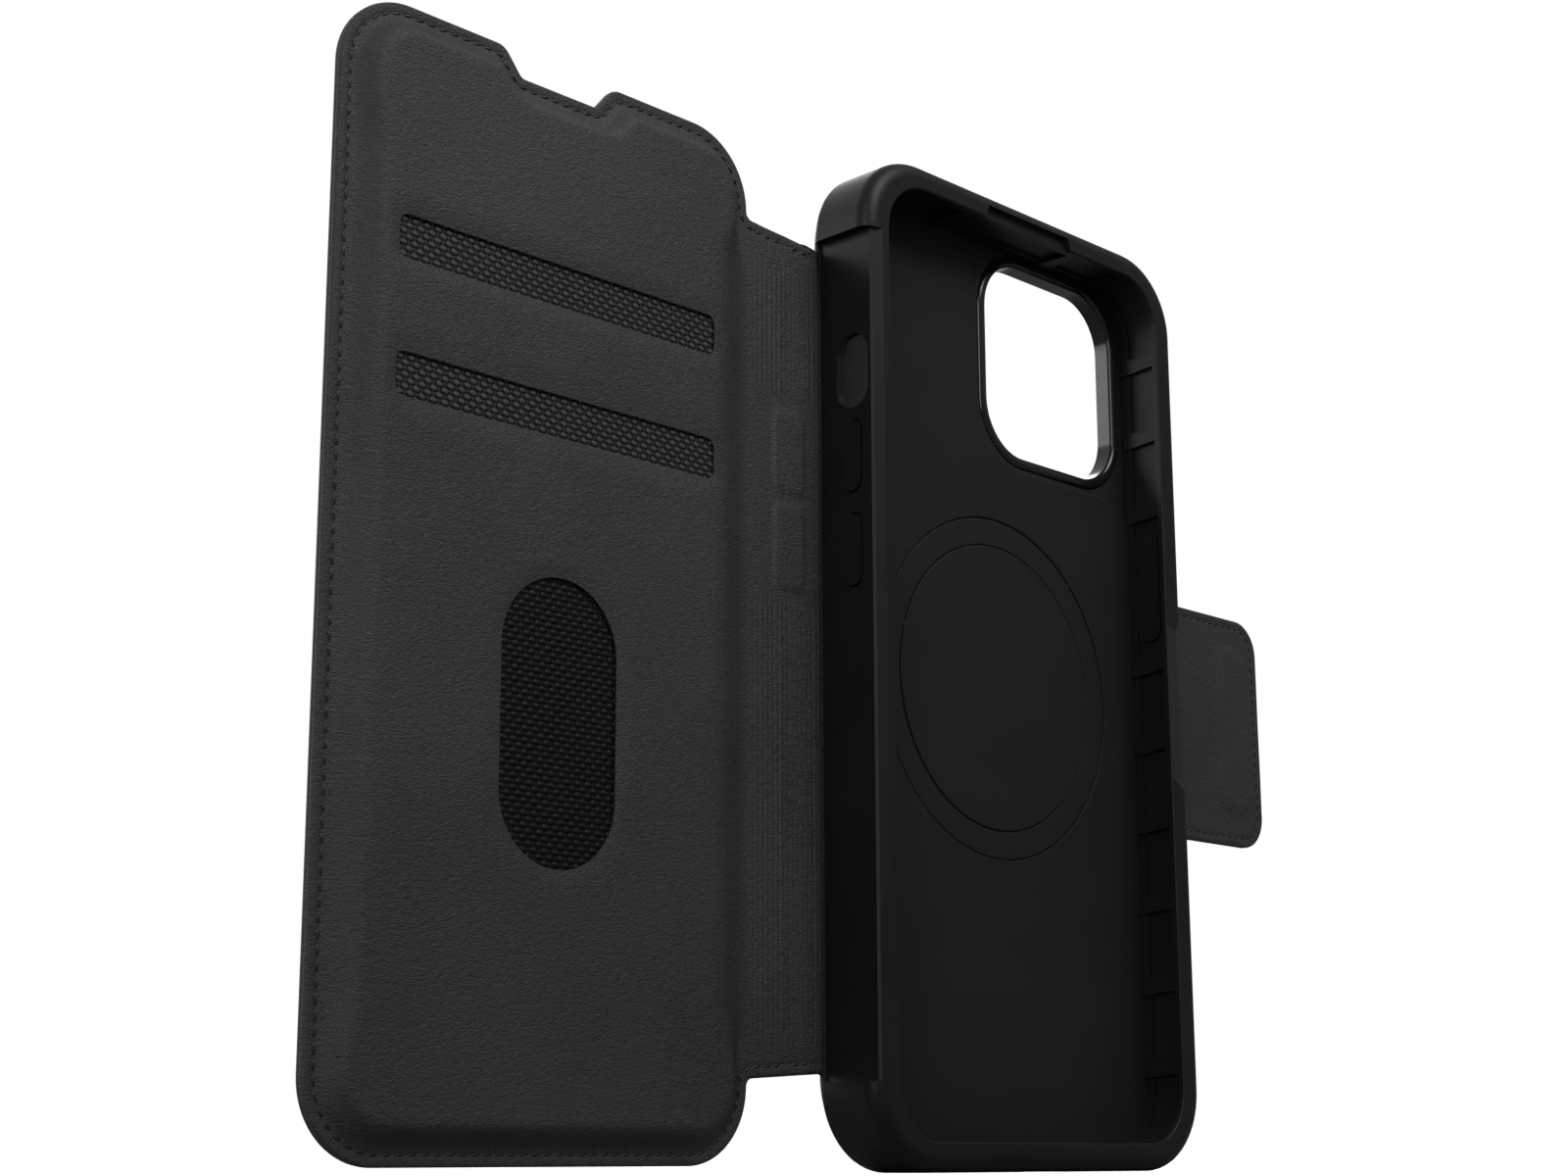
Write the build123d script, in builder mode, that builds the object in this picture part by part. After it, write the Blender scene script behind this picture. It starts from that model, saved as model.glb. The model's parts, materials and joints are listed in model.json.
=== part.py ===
from build123d import *
import os

# Wallet folio for a 6.1 inch phone, standing upright and opened out flat.
# +X runs to the right of the phone's screen, +Y runs away from the screen,
# +Z runs up the phone's long side. The origin is the middle of the back face.
# All lengths are in millimetres.

# ---- the phone that the case holds ----
phone_width = 71.6
phone_height = 147.6
phone_room = 8.0            # phone depth of 7.8 plus a sliding clearance

# ---- shell ----
shell_width = 79.2
shell_height = 156.0
shell_corner = 13.0
half_width = shell_width / 2
bottom = -shell_height / 2
side_wall = 2.8
end_wall = 3.2
lip_depth = 1.0
lip_opening_width = 69.0
lip_opening_height = 147.2
lip_opening_corner = 8.8
front_edge_round = 2.5
back_edge_round = 1.0
panel_overlap = 0.1         # the back panel covers the start of the rounded back edge
spine_tab_gap = 0.5         # its tab to the spine stops short of the shell's side
cut_margin = 0.1            # cuts start this far outside the surface they open
lip_edge_round = 0.35

# ---- layers, counted forwards from the back face at y = 0 ----
leather = 0.8
fold_y = -leather           # the fold plane between outer leather and lining
plate_depth = 2.1
liner_depth = 0.5
plate_front = fold_y - plate_depth
liner_front = plate_front - liner_depth
lip_back = liner_front - phone_room
front = lip_back - lip_depth
lining_front = fold_y - leather

# ---- recess down the left wall, which the folded spine lies in ----
recess_depth = 1.6
recess_low = bottom + 12.9
recess_high = bottom + 142.3
left_wall = -half_width + recess_depth
recess_slope_width = 1.8    # the left rim slopes back towards the recess
recess_slope_depth = 0.75
recess_edge_width = 0.35    # and turns over a small bevel into the recess wall
recess_edge_depth = 0.4

# ---- cavity, with cushion ribs that touch the phone ----
cavity_width = shell_width - 2 * side_wall
cavity_height = shell_height - 2 * end_wall
cavity_corner = 10.0
rib_gap = 0.15
rib_foot = 3.0              # ribs narrow from the liner towards the lip
rib_top = 1.6
rib_pitch = 13.6
first_rib_z = bottom + 16.5
power_key_rib = 6           # this rib is left out for the power key
rim_strip = 1.2             # the pockets between the ribs stop this far from the lip
ledge_width = 0.45          # low ledge all round the foot of the wall
ledge_height = 1.6
side_rib_count = 10
side_rib_height = cavity_width / 2 - phone_width / 2 - rib_gap
end_rib_height = cavity_height / 2 - phone_height / 2 - rib_gap
side_rib_points = [
    (liner_front, -rib_foot / 2),
    (lip_back, -rib_top / 2),
    (lip_back, rib_top / 2),
    (liner_front, rib_foot / 2),
]
end_rib_points = [(across, depth) for depth, across in side_rib_points]

# ---- keys and openings in the side walls ----
key_y = lip_back + phone_room / 2
key_width = 3.2
key_gap = 0.1
key_slot_gap = 0.2
key_proud = 0.3
key_flange = 0.7
key_flange_depth = 0.4
key_phone_gap = 0.4         # from the key's pad to the side of the phone
power_z = bottom + 98.7
power_length = 18.0
power_proud = 0.4
volume_length = 11.2
volume_up_z = bottom + 106.6
volume_down_z = bottom + 91.8
switch_z = bottom + 120.1
switch_length = 11.8
switch_width = 6.6
port_width = 13.2
port_height = 6.4
speaker_x = 18.6
speaker_length = 13.0
speaker_height = 2.4
earpiece_width = 20.5
earpiece_rise = 2.2
earpiece_slant = 1.6
earpiece_end_angle = 70

# ---- finger notch on the right rim, beside the latch ----
notch_z = bottom + 77.8
notch_length = 26.0
notch_slant = 3.6
notch_depth = 1.8           # at the outer edge
notch_inner_depth = 0.01    # the notch runs out at the lip's edge

# ---- magnet ring behind the liner ----
ring_z = bottom + 76.5
ring_outer = 27.9
ring_inner = 23.4
ring_magnets_count = 18
ring_split = 0.3
ring_depth = 1.1
ring_film = 0.2
ring_gap = 0.1
ring_emboss = 0.15

# ---- camera opening ----
camera_x = 16.2
camera_z = bottom + 133.5
camera_width = 33.9
camera_height = 33.6
camera_corner = 9.0
bezel_width = 1.9
bezel_round = 0.8
bezel_gap = 0.05
bezel_margin = 0.6          # the liner is cut back this far from the bezel
bezel_flare = 3.0           # and a little further at two corners of the bezel

# ---- fold lines ----
fold_gap = 0.95             # half the leather's thickness and a little more
fold_touch = 0.15
spine_hinge_x = -39.5
spine_length = 15.1
cover_hinge_x = spine_hinge_x - spine_length
latch_hinge_x = 41.2
latch_side_length = 17.3
latch_tip_hinge_x = latch_hinge_x + latch_side_length

# ---- spine ----
spine_low_shell = bottom + 14.1
spine_low_cover = bottom + 13.1
spine_high_shell = bottom + 140.8
spine_high_cover = bottom + 141.8
spine_pad_x = spine_hinge_x - (fold_y - key_y)
spine_pad_width = 6.4
spine_pad_length = 13.0
spine_pad_depth = 0.3
spine_pad_corner = 1.5

# ---- cover ----
cover_width = 74.0
cover_low = bottom + 1.1
cover_high = bottom + 153.9
cover_height = cover_high - cover_low
cover_z = (cover_high + cover_low) / 2
cover_corner = 11.0
cover_x = cover_hinge_x - fold_touch - cover_width / 2
cover_notch_x = cover_x
cover_notch_width = 20.0
cover_notch_depth = 3.9
cover_notch_slant = 3.2
plateau_front = -4.0
plateau_inset = 3.8
plateau_skin = 0.6
pocket_width = 58.0
pocket_low = bottom + 13.0
mesh = 0.18
card_room = 0.85
pocket_corner = 1.5
board = 0.5
window_width = 56.5
window_height = 6.1
window_corner = 1.4
upper_window_z = bottom + 120.2
lower_window_z = bottom + 101.4
thumb_window_z = bottom + 59.0
thumb_window_width = 20.0
thumb_window_height = 39.5

# ---- latch ----
latch_height = 42.0
latch_tip_length = 18.8
latch_corner = 6.0
magnet_x = 68.8
magnet_width = 6.6
magnet_length = 13.0
magnet_pitch = 14.4
magnet_depth = 0.8
carrier_width = 8.2
carrier_length = 30.0
carrier_gap = 0.05
pad_rim = 0.8
pad_rise = 0.4
catch_width = 3.0
catch_gap = 0.3             # from the catch to the padded middle's side wall
catch_x = cover_x - cover_width / 2 + plateau_inset + plateau_skin + catch_gap + catch_width / 2
catch_depth = 1.0

# ---- stitching: a raised cord near each free edge ----
stitch_inset = 1.3
stitch_width = 0.6
stitch_rise = 0.25
seam_break = 5.2            # the cover's seam stops this wide around its fold


def facing(y):
    """Sketch plane at depth y, drawn as seen from the screen side; extrudes forwards."""
    return Plane.XZ.offset(-y)


def cover_outline(inset):
    """Cover shape with its earpiece notch, drawn smaller by inset all round."""
    with Locations((cover_x, cover_z)):
        RectangleRounded(cover_width - 2 * inset, cover_height - 2 * inset, cover_corner - inset)
    notch_top = cover_high - inset
    notch_floor = cover_high - cover_notch_depth - inset
    half_top = cover_notch_width / 2 + inset
    half_floor = half_top - cover_notch_slant
    Polygon(
        (cover_notch_x - half_top - cut_margin, notch_top + cut_margin),
        (cover_notch_x - half_top, notch_top),
        (cover_notch_x - half_floor, notch_floor),
        (cover_notch_x + half_floor, notch_floor),
        (cover_notch_x + half_top, notch_top),
        (cover_notch_x + half_top + cut_margin, notch_top + cut_margin),
        align=None,
        mode=Mode.SUBTRACT,
    )


def spine_outline():
    """Spine strip between its two fold lines, a little taller at the cover."""
    near = spine_hinge_x - fold_gap
    far = cover_hinge_x + fold_gap
    Polygon(
        (near, spine_low_shell),
        (near, spine_high_shell),
        (far, spine_high_cover),
        (far, spine_low_cover),
        align=None,
    )


def spine_stitch_line(near_z, far_z):
    """One straight row of stitches across the spine, from fold to fold."""
    near = spine_hinge_x - fold_gap
    far = cover_hinge_x + fold_gap
    Polygon(
        (near, near_z),
        (near, near_z + stitch_width),
        (far, far_z + stitch_width),
        (far, far_z),
        align=None,
    )


def latch_tip_outline(inset):
    """Latch tip with rounded outer corners and a straight fold edge."""
    fold_edge = latch_tip_hinge_x + fold_touch
    free_edge = latch_tip_hinge_x + latch_tip_length - inset
    with Locations(((fold_edge + free_edge) / 2 - latch_corner, 0)):
        RectangleRounded(
            free_edge - fold_edge + 2 * latch_corner, latch_height - 2 * inset, latch_corner - inset
        )
    with Locations((fold_edge - latch_height / 2, 0)):
        Rectangle(latch_height, latch_height + 2 * cut_margin, mode=Mode.SUBTRACT)


def camera_outline(margin, mode=Mode.ADD):
    """Camera opening, drawn larger by margin all round."""
    with Locations((camera_x, camera_z)):
        RectangleRounded(
            camera_width + 2 * margin,
            camera_height + 2 * margin,
            camera_corner + margin,
            mode=mode,
        )


def ring_outline(margin, mode=Mode.ADD):
    """Flat ring over the magnets, wider by margin on both edges."""
    with BuildSketch(mode=Mode.PRIVATE) as ring:
        Circle(ring_outer + margin)
        Circle(ring_inner - margin, mode=Mode.SUBTRACT)
    with Locations((0, ring_z)):
        add(ring.sketch, mode=mode)


def make_key(x_wall, inward, z, length, proud):
    """Side key: a bar through the wall with a retaining flange inside the cavity."""
    outer_end = x_wall - inward * proud
    pad_end = -inward * (phone_width / 2 + key_phone_gap)
    flange_back = -inward * (cavity_width / 2 - key_gap)
    with BuildPart() as bar:
        with BuildSketch(Plane.YZ.offset(outer_end)):
            with Locations((key_y, z)):
                SlotOverall(length, key_width, rotation=90)
        extrude(amount=pad_end - outer_end)
        with BuildSketch(Plane.YZ.offset(flange_back)):
            with Locations((key_y, z)):
                SlotOverall(length + 2 * key_flange, key_width + 2 * key_flange, rotation=90)
        extrude(amount=inward * key_flange_depth)
    return bar


# ---- bumper frame: soft outer walls, lip, cushion ribs and openings ----
with BuildPart() as bumper_frame:
    with BuildSketch(facing(fold_y)):
        RectangleRounded(shell_width, shell_height, shell_corner)
    extrude(amount=fold_y - front)
    fillet(bumper_frame.faces().sort_by(Axis.Y)[0].edges(), radius=front_edge_round)
    fillet(bumper_frame.faces().sort_by(Axis.Y)[-1].edges(), radius=back_edge_round)
    with BuildSketch(facing(fold_y)):
        RectangleRounded(cavity_width, cavity_height, cavity_corner)
    extrude(amount=fold_y - lip_back, mode=Mode.SUBTRACT)
    with BuildSketch(facing(lip_back)):
        RectangleRounded(lip_opening_width, lip_opening_height, lip_opening_corner)
    extrude(amount=lip_depth, mode=Mode.SUBTRACT)
    fillet(bumper_frame.faces().sort_by(Axis.Y)[0].inner_wires().edges(), radius=lip_edge_round)
    # recess for the spine
    with BuildSketch(facing(fold_y)):
        with Locations((-half_width, (recess_low + recess_high) / 2)):
            Rectangle(2 * recess_depth, recess_high - recess_low)
    extrude(amount=fold_y - front, mode=Mode.SUBTRACT)
    with BuildSketch(Plane.XY.offset(recess_low)):
        Polygon(
            (left_wall, front),
            (left_wall + recess_slope_width, front),
            (left_wall + recess_edge_width, front + recess_slope_depth),
            (left_wall, front + recess_slope_depth + recess_edge_depth),
            align=None,
        )
    extrude(amount=recess_high - recess_low, mode=Mode.SUBTRACT)
    # relief in the top lip for the earpiece
    with BuildSketch(facing(lip_back)):
        with Locations((0, lip_opening_height / 2)):
            Trapezoid(earpiece_width + 2 * earpiece_slant, 2 * earpiece_rise, earpiece_end_angle)
    extrude(amount=lip_depth, mode=Mode.SUBTRACT)
    # finger notch: the right rim slopes back to its outer edge, with slanted ends
    for x, depth, slant in (
        (lip_opening_width / 2, notch_inner_depth, 0),
        (half_width, notch_depth, notch_slant),
    ):
        with BuildSketch(Plane.YZ.offset(x)):
            Polygon(
                (front - cut_margin, notch_z - notch_length / 2 - slant),
                (front + depth, notch_z - notch_length / 2),
                (front + depth, notch_z + notch_length / 2),
                (front - cut_margin, notch_z + notch_length / 2 + slant),
                align=None,
            )
    loft(ruled=True, mode=Mode.SUBTRACT)
    # ledge round the foot of the walls
    with BuildSketch(facing(liner_front)):
        RectangleRounded(cavity_width, cavity_height, cavity_corner)
        RectangleRounded(
            cavity_width - 2 * ledge_width,
            cavity_height - 2 * ledge_width,
            cavity_corner - ledge_width,
            mode=Mode.SUBTRACT,
        )
    extrude(amount=ledge_height)
    # cushion ribs along both side walls, left out where the keys and the switch are
    side_ribs = [
        first_rib_z + rib_pitch * step
        for step in range(side_rib_count)
        if step != power_key_rib
    ]
    left_ribs = [
        z
        for z in side_ribs
        if z < volume_down_z - volume_length or z > switch_z + switch_length
    ]
    with BuildSketch(Plane.YZ.offset(cavity_width / 2 - side_rib_height)):
        with Locations(*[(0, z) for z in side_ribs]):
            Polygon(*side_rib_points, align=None)
    extrude(amount=side_rib_height)
    with BuildSketch(Plane.YZ.offset(-cavity_width / 2)):
        with Locations(*[(0, z) for z in left_ribs]):
            Polygon(*side_rib_points, align=None)
    extrude(amount=side_rib_height)
    # cushion ribs at the top and the bottom
    with BuildSketch(Plane.XY.offset(cavity_height / 2 - end_rib_height)):
        with Locations(*[(rib_pitch * step, 0) for step in (-2, -1, 1, 2)]):
            Polygon(*end_rib_points, align=None)
    extrude(amount=end_rib_height)
    with BuildSketch(Plane.XY.offset(-cavity_height / 2)):
        with Locations(*[(rib_pitch * step, 0) for step in (-2, 2)]):
            Polygon(*end_rib_points, align=None)
    extrude(amount=end_rib_height)
    # strip that closes the pockets between the ribs towards the lip
    with BuildSketch(facing(lip_back + rim_strip)):
        RectangleRounded(cavity_width, cavity_height, cavity_corner)
        RectangleRounded(
            cavity_width - 2 * side_rib_height,
            cavity_height - 2 * end_rib_height,
            cavity_corner - side_rib_height,
            mode=Mode.SUBTRACT,
        )
    extrude(amount=rim_strip)
    # key windows and the ring switch opening
    with BuildSketch(Plane.YZ.offset(-half_width)):
        with Locations((key_y, volume_up_z), (key_y, volume_down_z)):
            SlotOverall(
                volume_length + 2 * key_slot_gap, key_width + 2 * key_slot_gap, rotation=90
            )
        with Locations((key_y, switch_z)):
            SlotOverall(switch_length, switch_width, rotation=90)
    extrude(amount=side_wall + side_rib_height + cut_margin, mode=Mode.SUBTRACT)
    with BuildSketch(Plane.YZ.offset(cavity_width / 2 - side_rib_height - cut_margin)):
        with Locations((key_y, power_z)):
            SlotOverall(
                power_length + 2 * key_slot_gap, key_width + 2 * key_slot_gap, rotation=90
            )
    extrude(amount=side_wall + side_rib_height + 2 * cut_margin, mode=Mode.SUBTRACT)
    # charging port and speaker openings in the bottom wall
    with BuildSketch(Plane.XY.offset(bottom)):
        with Locations((0, key_y)):
            SlotOverall(port_width, port_height)
        with Locations((-speaker_x, key_y), (speaker_x, key_y)):
            SlotOverall(speaker_length, speaker_height)
    extrude(amount=end_wall + end_rib_height + cut_margin, mode=Mode.SUBTRACT)
bumper_frame.part.label = "bumper_frame"

# ---- back plate: stiff panel closing the frame, grooved for the magnet ring ----
with BuildPart() as back_plate:
    with BuildSketch(facing(fold_y)):
        RectangleRounded(cavity_width - 2 * ring_gap, cavity_height - 2 * ring_gap, cavity_corner)
        camera_outline(bezel_width + bezel_gap, mode=Mode.SUBTRACT)
    extrude(amount=plate_depth)
    with BuildSketch(facing(plate_front)):
        ring_outline(ring_gap)
    extrude(amount=-(ring_depth + ring_film + 2 * ring_gap), mode=Mode.SUBTRACT)
back_plate.part.label = "back_plate"

# ---- magnet ring: thin magnets side by side, held on a film ring ----
with BuildPart() as ring_magnets:
    with BuildSketch(facing(plate_front + ring_film + ring_gap + ring_depth)):
        ring_outline(0)
        with Locations((0, ring_z)):
            with PolarLocations((ring_outer + ring_inner) / 2, ring_magnets_count):
                Rectangle(2 * (ring_outer - ring_inner), ring_split, mode=Mode.SUBTRACT)
    extrude(amount=ring_depth)
ring_magnets.part.label = "ring_magnets"

with BuildPart() as ring_magnet_film:
    with BuildSketch(facing(plate_front + ring_film)):
        ring_outline(0)
    extrude(amount=ring_film)
ring_magnet_film.part.label = "ring_magnet_film"

# ---- phone liner: soft sheet on the plate, dished over the ring ----
# it stops at the camera bezel, and has no strip above it or to its right
bezel_left = camera_x - camera_width / 2 - bezel_width - bezel_margin
bezel_right = camera_x + camera_width / 2 + bezel_width + bezel_margin
bezel_low = camera_z - camera_height / 2 - bezel_width - bezel_margin
bezel_high = camera_z + camera_height / 2 + bezel_width + bezel_margin
liner_cut_points = [
    (bezel_left - bezel_flare, cavity_height / 2),
    (bezel_left, bezel_high - camera_corner / 2),
    (bezel_right - camera_corner / 2, bezel_low),
    (cavity_width / 2, bezel_low - bezel_flare),
    (cavity_width / 2, cavity_height / 2),
]
with BuildPart() as phone_liner:
    with BuildSketch(facing(plate_front)):
        RectangleRounded(cavity_width - 2 * ring_gap, cavity_height - 2 * ring_gap, cavity_corner)
        camera_outline(bezel_width + bezel_margin, mode=Mode.SUBTRACT)
        Polygon(*liner_cut_points, align=None, mode=Mode.SUBTRACT)
    extrude(amount=liner_depth)
    with BuildSketch(facing(liner_front)):
        ring_outline(0)
    extrude(amount=-ring_emboss, mode=Mode.SUBTRACT)
phone_liner.part.label = "phone_liner"

# ---- camera bezel: one ring right through the plate and the back leather ----
with BuildPart() as camera_bezel:
    with BuildSketch(facing(0)):
        camera_outline(bezel_width)
        camera_outline(0, mode=Mode.SUBTRACT)
    extrude(amount=-liner_front)
    fillet(camera_bezel.faces().sort_by(Axis.Y)[0].edges(), radius=bezel_round)
camera_bezel.part.label = "camera_bezel"

# ---- back panel: outer leather on the shell, with tabs that carry the latch and the spine ----
with BuildPart() as back_panel:
    with BuildSketch(facing(0)):
        RectangleRounded(
            shell_width - 2 * back_edge_round + 2 * panel_overlap,
            shell_height - 2 * back_edge_round + 2 * panel_overlap,
            shell_corner,
        )
        Polygon(
            (half_width - shell_corner, -latch_height / 2),
            (latch_hinge_x - fold_touch, -latch_height / 2),
            (latch_hinge_x - fold_touch, latch_height / 2),
            (half_width - shell_corner, latch_height / 2),
            align=None,
        )
        Polygon(
            (shell_corner - half_width, spine_low_shell),
            (shell_corner - half_width, spine_high_shell),
            (spine_tab_gap - half_width, spine_high_shell),
            (spine_tab_gap - half_width, spine_low_shell),
            align=None,
        )
        camera_outline(bezel_width + bezel_gap, mode=Mode.SUBTRACT)
    extrude(amount=leather)
back_panel.part.label = "back_panel"

# ---- side keys ----
power_key = make_key(half_width, -1, power_z, power_length, power_proud)
power_key.part.label = "power_key"
volume_up_key = make_key(left_wall, 1, volume_up_z, volume_length, key_proud)
volume_up_key.part.label = "volume_up_key"
volume_down_key = make_key(left_wall, 1, volume_down_z, volume_length, key_proud)
volume_down_key.part.label = "volume_down_key"

# ---- spine ----
with BuildPart() as spine_outer:
    with BuildSketch(facing(0)):
        spine_outline()
    extrude(amount=leather)
spine_outer.part.label = "spine_outer"

with BuildPart() as spine_lining:
    with BuildSketch(facing(fold_y)):
        spine_outline()
    extrude(amount=leather)
    with BuildSketch(facing(fold_y)):
        with Locations((spine_pad_x, volume_up_z), (spine_pad_x, volume_down_z)):
            RectangleRounded(
                spine_pad_width + 2 * carrier_gap,
                spine_pad_length + 2 * carrier_gap,
                spine_pad_corner,
            )
    extrude(amount=spine_pad_depth + carrier_gap, mode=Mode.SUBTRACT)
spine_lining.part.label = "spine_lining"

# pads over the volume keys, between the leather and the lining
with BuildPart() as spine_key_pads:
    with BuildSketch(facing(fold_y)):
        with Locations((spine_pad_x, volume_up_z), (spine_pad_x, volume_down_z)):
            RectangleRounded(spine_pad_width, spine_pad_length, spine_pad_corner)
    extrude(amount=spine_pad_depth)
spine_key_pads.part.label = "spine_key_pads"

with BuildPart() as spine_stitching:
    with BuildSketch(facing(lining_front)):
        spine_stitch_line(spine_low_shell + stitch_inset, spine_low_cover + stitch_inset)
        spine_stitch_line(
            spine_high_shell - stitch_inset - stitch_width,
            spine_high_cover - stitch_inset - stitch_width,
        )
    extrude(amount=stitch_rise)
spine_stitching.part.label = "spine_stitching"

# ---- cover ----
with BuildPart() as cover_outer:
    with BuildSketch(facing(0)):
        cover_outline(0)
    extrude(amount=leather)
cover_outer.part.label = "cover_outer"

# lining: flat flange for the seam, with a raised middle that holds the cards
with BuildPart() as cover_lining:
    with BuildSketch(facing(fold_y)):
        cover_outline(0)
    extrude(amount=leather)
    with BuildSketch(facing(fold_y)):
        cover_outline(plateau_inset)
    extrude(amount=fold_y - plateau_front)
    with BuildSketch(facing(fold_y)):
        cover_outline(plateau_inset + plateau_skin)
    extrude(amount=fold_y - plateau_front - plateau_skin, mode=Mode.SUBTRACT)
    with BuildSketch(facing(fold_y)):
        with Locations((cover_x, upper_window_z), (cover_x, lower_window_z)):
            RectangleRounded(window_width, window_height, window_corner)
        with Locations((cover_x, thumb_window_z)):
            SlotOverall(thumb_window_height, thumb_window_width, rotation=90)
    extrude(amount=fold_y - plateau_front, mode=Mode.SUBTRACT)
cover_lining.part.label = "cover_lining"

# board that keeps the cover flat, cut out around the catch magnets
with BuildPart() as cover_board:
    with BuildSketch(facing(fold_y)):
        cover_outline(plateau_inset + plateau_skin + ring_gap)
        with Locations((catch_x - catch_width / 2, 0)):
            Rectangle(
                2 * catch_width + 2 * ring_gap, 2 * magnet_pitch + 2 * ring_gap, mode=Mode.SUBTRACT
            )
    extrude(amount=board)
cover_board.part.label = "cover_board"


def make_pocket_sheet(back_y, top):
    """Mesh sheet of a card pocket, from the pocket floor up to its mouth."""
    with BuildPart() as sheet:
        with BuildSketch(facing(back_y)):
            with Locations((cover_x, (pocket_low + top) / 2)):
                RectangleRounded(pocket_width, top - pocket_low, pocket_corner)
        extrude(amount=mesh)
    return sheet


upper_pocket_back = fold_y - board - ring_gap
lower_pocket_back = upper_pocket_back - mesh - card_room
upper_pocket_mesh = make_pocket_sheet(upper_pocket_back, upper_window_z + window_height)
upper_pocket_mesh.part.label = "upper_pocket_mesh"
lower_pocket_mesh = make_pocket_sheet(lower_pocket_back, lower_window_z + window_height)
lower_pocket_mesh.part.label = "lower_pocket_mesh"

with BuildPart() as cover_catch_magnets:
    with BuildSketch(facing(fold_y)):
        with Locations((catch_x, -magnet_pitch / 2), (catch_x, magnet_pitch / 2)):
            Rectangle(catch_width, magnet_length)
    extrude(amount=catch_depth)
cover_catch_magnets.part.label = "cover_catch_magnets"

with BuildPart() as cover_stitching:
    with BuildSketch(facing(lining_front)):
        cover_outline(stitch_inset)
        with BuildSketch(mode=Mode.PRIVATE) as inside_stitches:
            cover_outline(stitch_inset + stitch_width)
        add(inside_stitches.sketch, mode=Mode.SUBTRACT)
        with Locations((cover_hinge_x, (spine_low_cover + spine_high_cover) / 2)):
            Rectangle(seam_break, spine_high_cover - spine_low_cover, mode=Mode.SUBTRACT)
    extrude(amount=stitch_rise)
cover_stitching.part.label = "cover_stitching"


# ---- latch side: the strap from the back panel round the right wall ----
def latch_side_outline():
    near = latch_hinge_x + fold_gap
    far = latch_tip_hinge_x - fold_gap
    with Locations(((near + far) / 2, 0)):
        Rectangle(far - near, latch_height)


with BuildPart() as latch_side_outer:
    with BuildSketch(facing(0)):
        latch_side_outline()
    extrude(amount=leather)
latch_side_outer.part.label = "latch_side_outer"

with BuildPart() as latch_side_lining:
    with BuildSketch(facing(fold_y)):
        latch_side_outline()
    extrude(amount=leather)
latch_side_lining.part.label = "latch_side_lining"

latch_stitch_z = latch_height / 2 - stitch_inset - stitch_width / 2
with BuildPart() as latch_side_stitching:
    with BuildSketch(facing(lining_front)):
        with Locations(
            ((latch_hinge_x + latch_tip_hinge_x) / 2, -latch_stitch_z),
            ((latch_hinge_x + latch_tip_hinge_x) / 2, latch_stitch_z),
        ):
            Rectangle(latch_side_length - 2 * fold_gap, stitch_width)
    extrude(amount=stitch_rise)
latch_side_stitching.part.label = "latch_side_stitching"

# ---- latch tip: folds over the front of the cover ----
with BuildPart() as latch_tip_outer:
    with BuildSketch(facing(0)):
        latch_tip_outline(0)
    extrude(amount=leather)
latch_tip_outer.part.label = "latch_tip_outer"

with BuildPart() as latch_tip_lining:
    with BuildSketch(facing(fold_y)):
        latch_tip_outline(0)
    extrude(amount=leather)
    with BuildSketch(facing(fold_y)):
        with Locations((magnet_x, 0)):
            SlotOverall(carrier_length + 2 * pad_rim, carrier_width + 2 * pad_rim, rotation=90)
    extrude(amount=leather + pad_rise)
    with BuildSketch(facing(fold_y)):
        with Locations((magnet_x, 0)):
            SlotOverall(
                carrier_length + 2 * carrier_gap, carrier_width + 2 * carrier_gap, rotation=90
            )
    extrude(amount=magnet_depth + carrier_gap, mode=Mode.SUBTRACT)
latch_tip_lining.part.label = "latch_tip_lining"

with BuildPart() as latch_magnets:
    with BuildSketch(facing(fold_y)):
        with Locations((magnet_x, -magnet_pitch / 2), (magnet_x, magnet_pitch / 2)):
            Rectangle(magnet_width, magnet_length - 2 * pad_rim)
    extrude(amount=magnet_depth)
latch_magnets.part.label = "latch_magnets"

with BuildPart() as latch_magnet_carrier:
    with BuildSketch(facing(fold_y)):
        with Locations((magnet_x, 0)):
            SlotOverall(carrier_length, carrier_width, rotation=90)
        with Locations((magnet_x, -magnet_pitch / 2), (magnet_x, magnet_pitch / 2)):
            Rectangle(
                magnet_width + 2 * carrier_gap,
                magnet_length - 2 * pad_rim + 2 * carrier_gap,
                mode=Mode.SUBTRACT,
            )
    extrude(amount=magnet_depth)
latch_magnet_carrier.part.label = "latch_magnet_carrier"

with BuildPart() as latch_tip_stitching:
    with BuildSketch(facing(lining_front)):
        latch_tip_outline(stitch_inset)
        with BuildSketch(mode=Mode.PRIVATE) as inside_latch_stitches:
            latch_tip_outline(stitch_inset + stitch_width)
        add(inside_latch_stitches.sketch, mode=Mode.SUBTRACT)
        with Locations((latch_tip_hinge_x, 0)):
            Rectangle(2 * (fold_gap + stitch_rise), latch_height, mode=Mode.SUBTRACT)
    extrude(amount=stitch_rise)
latch_tip_stitching.part.label = "latch_tip_stitching"

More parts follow.
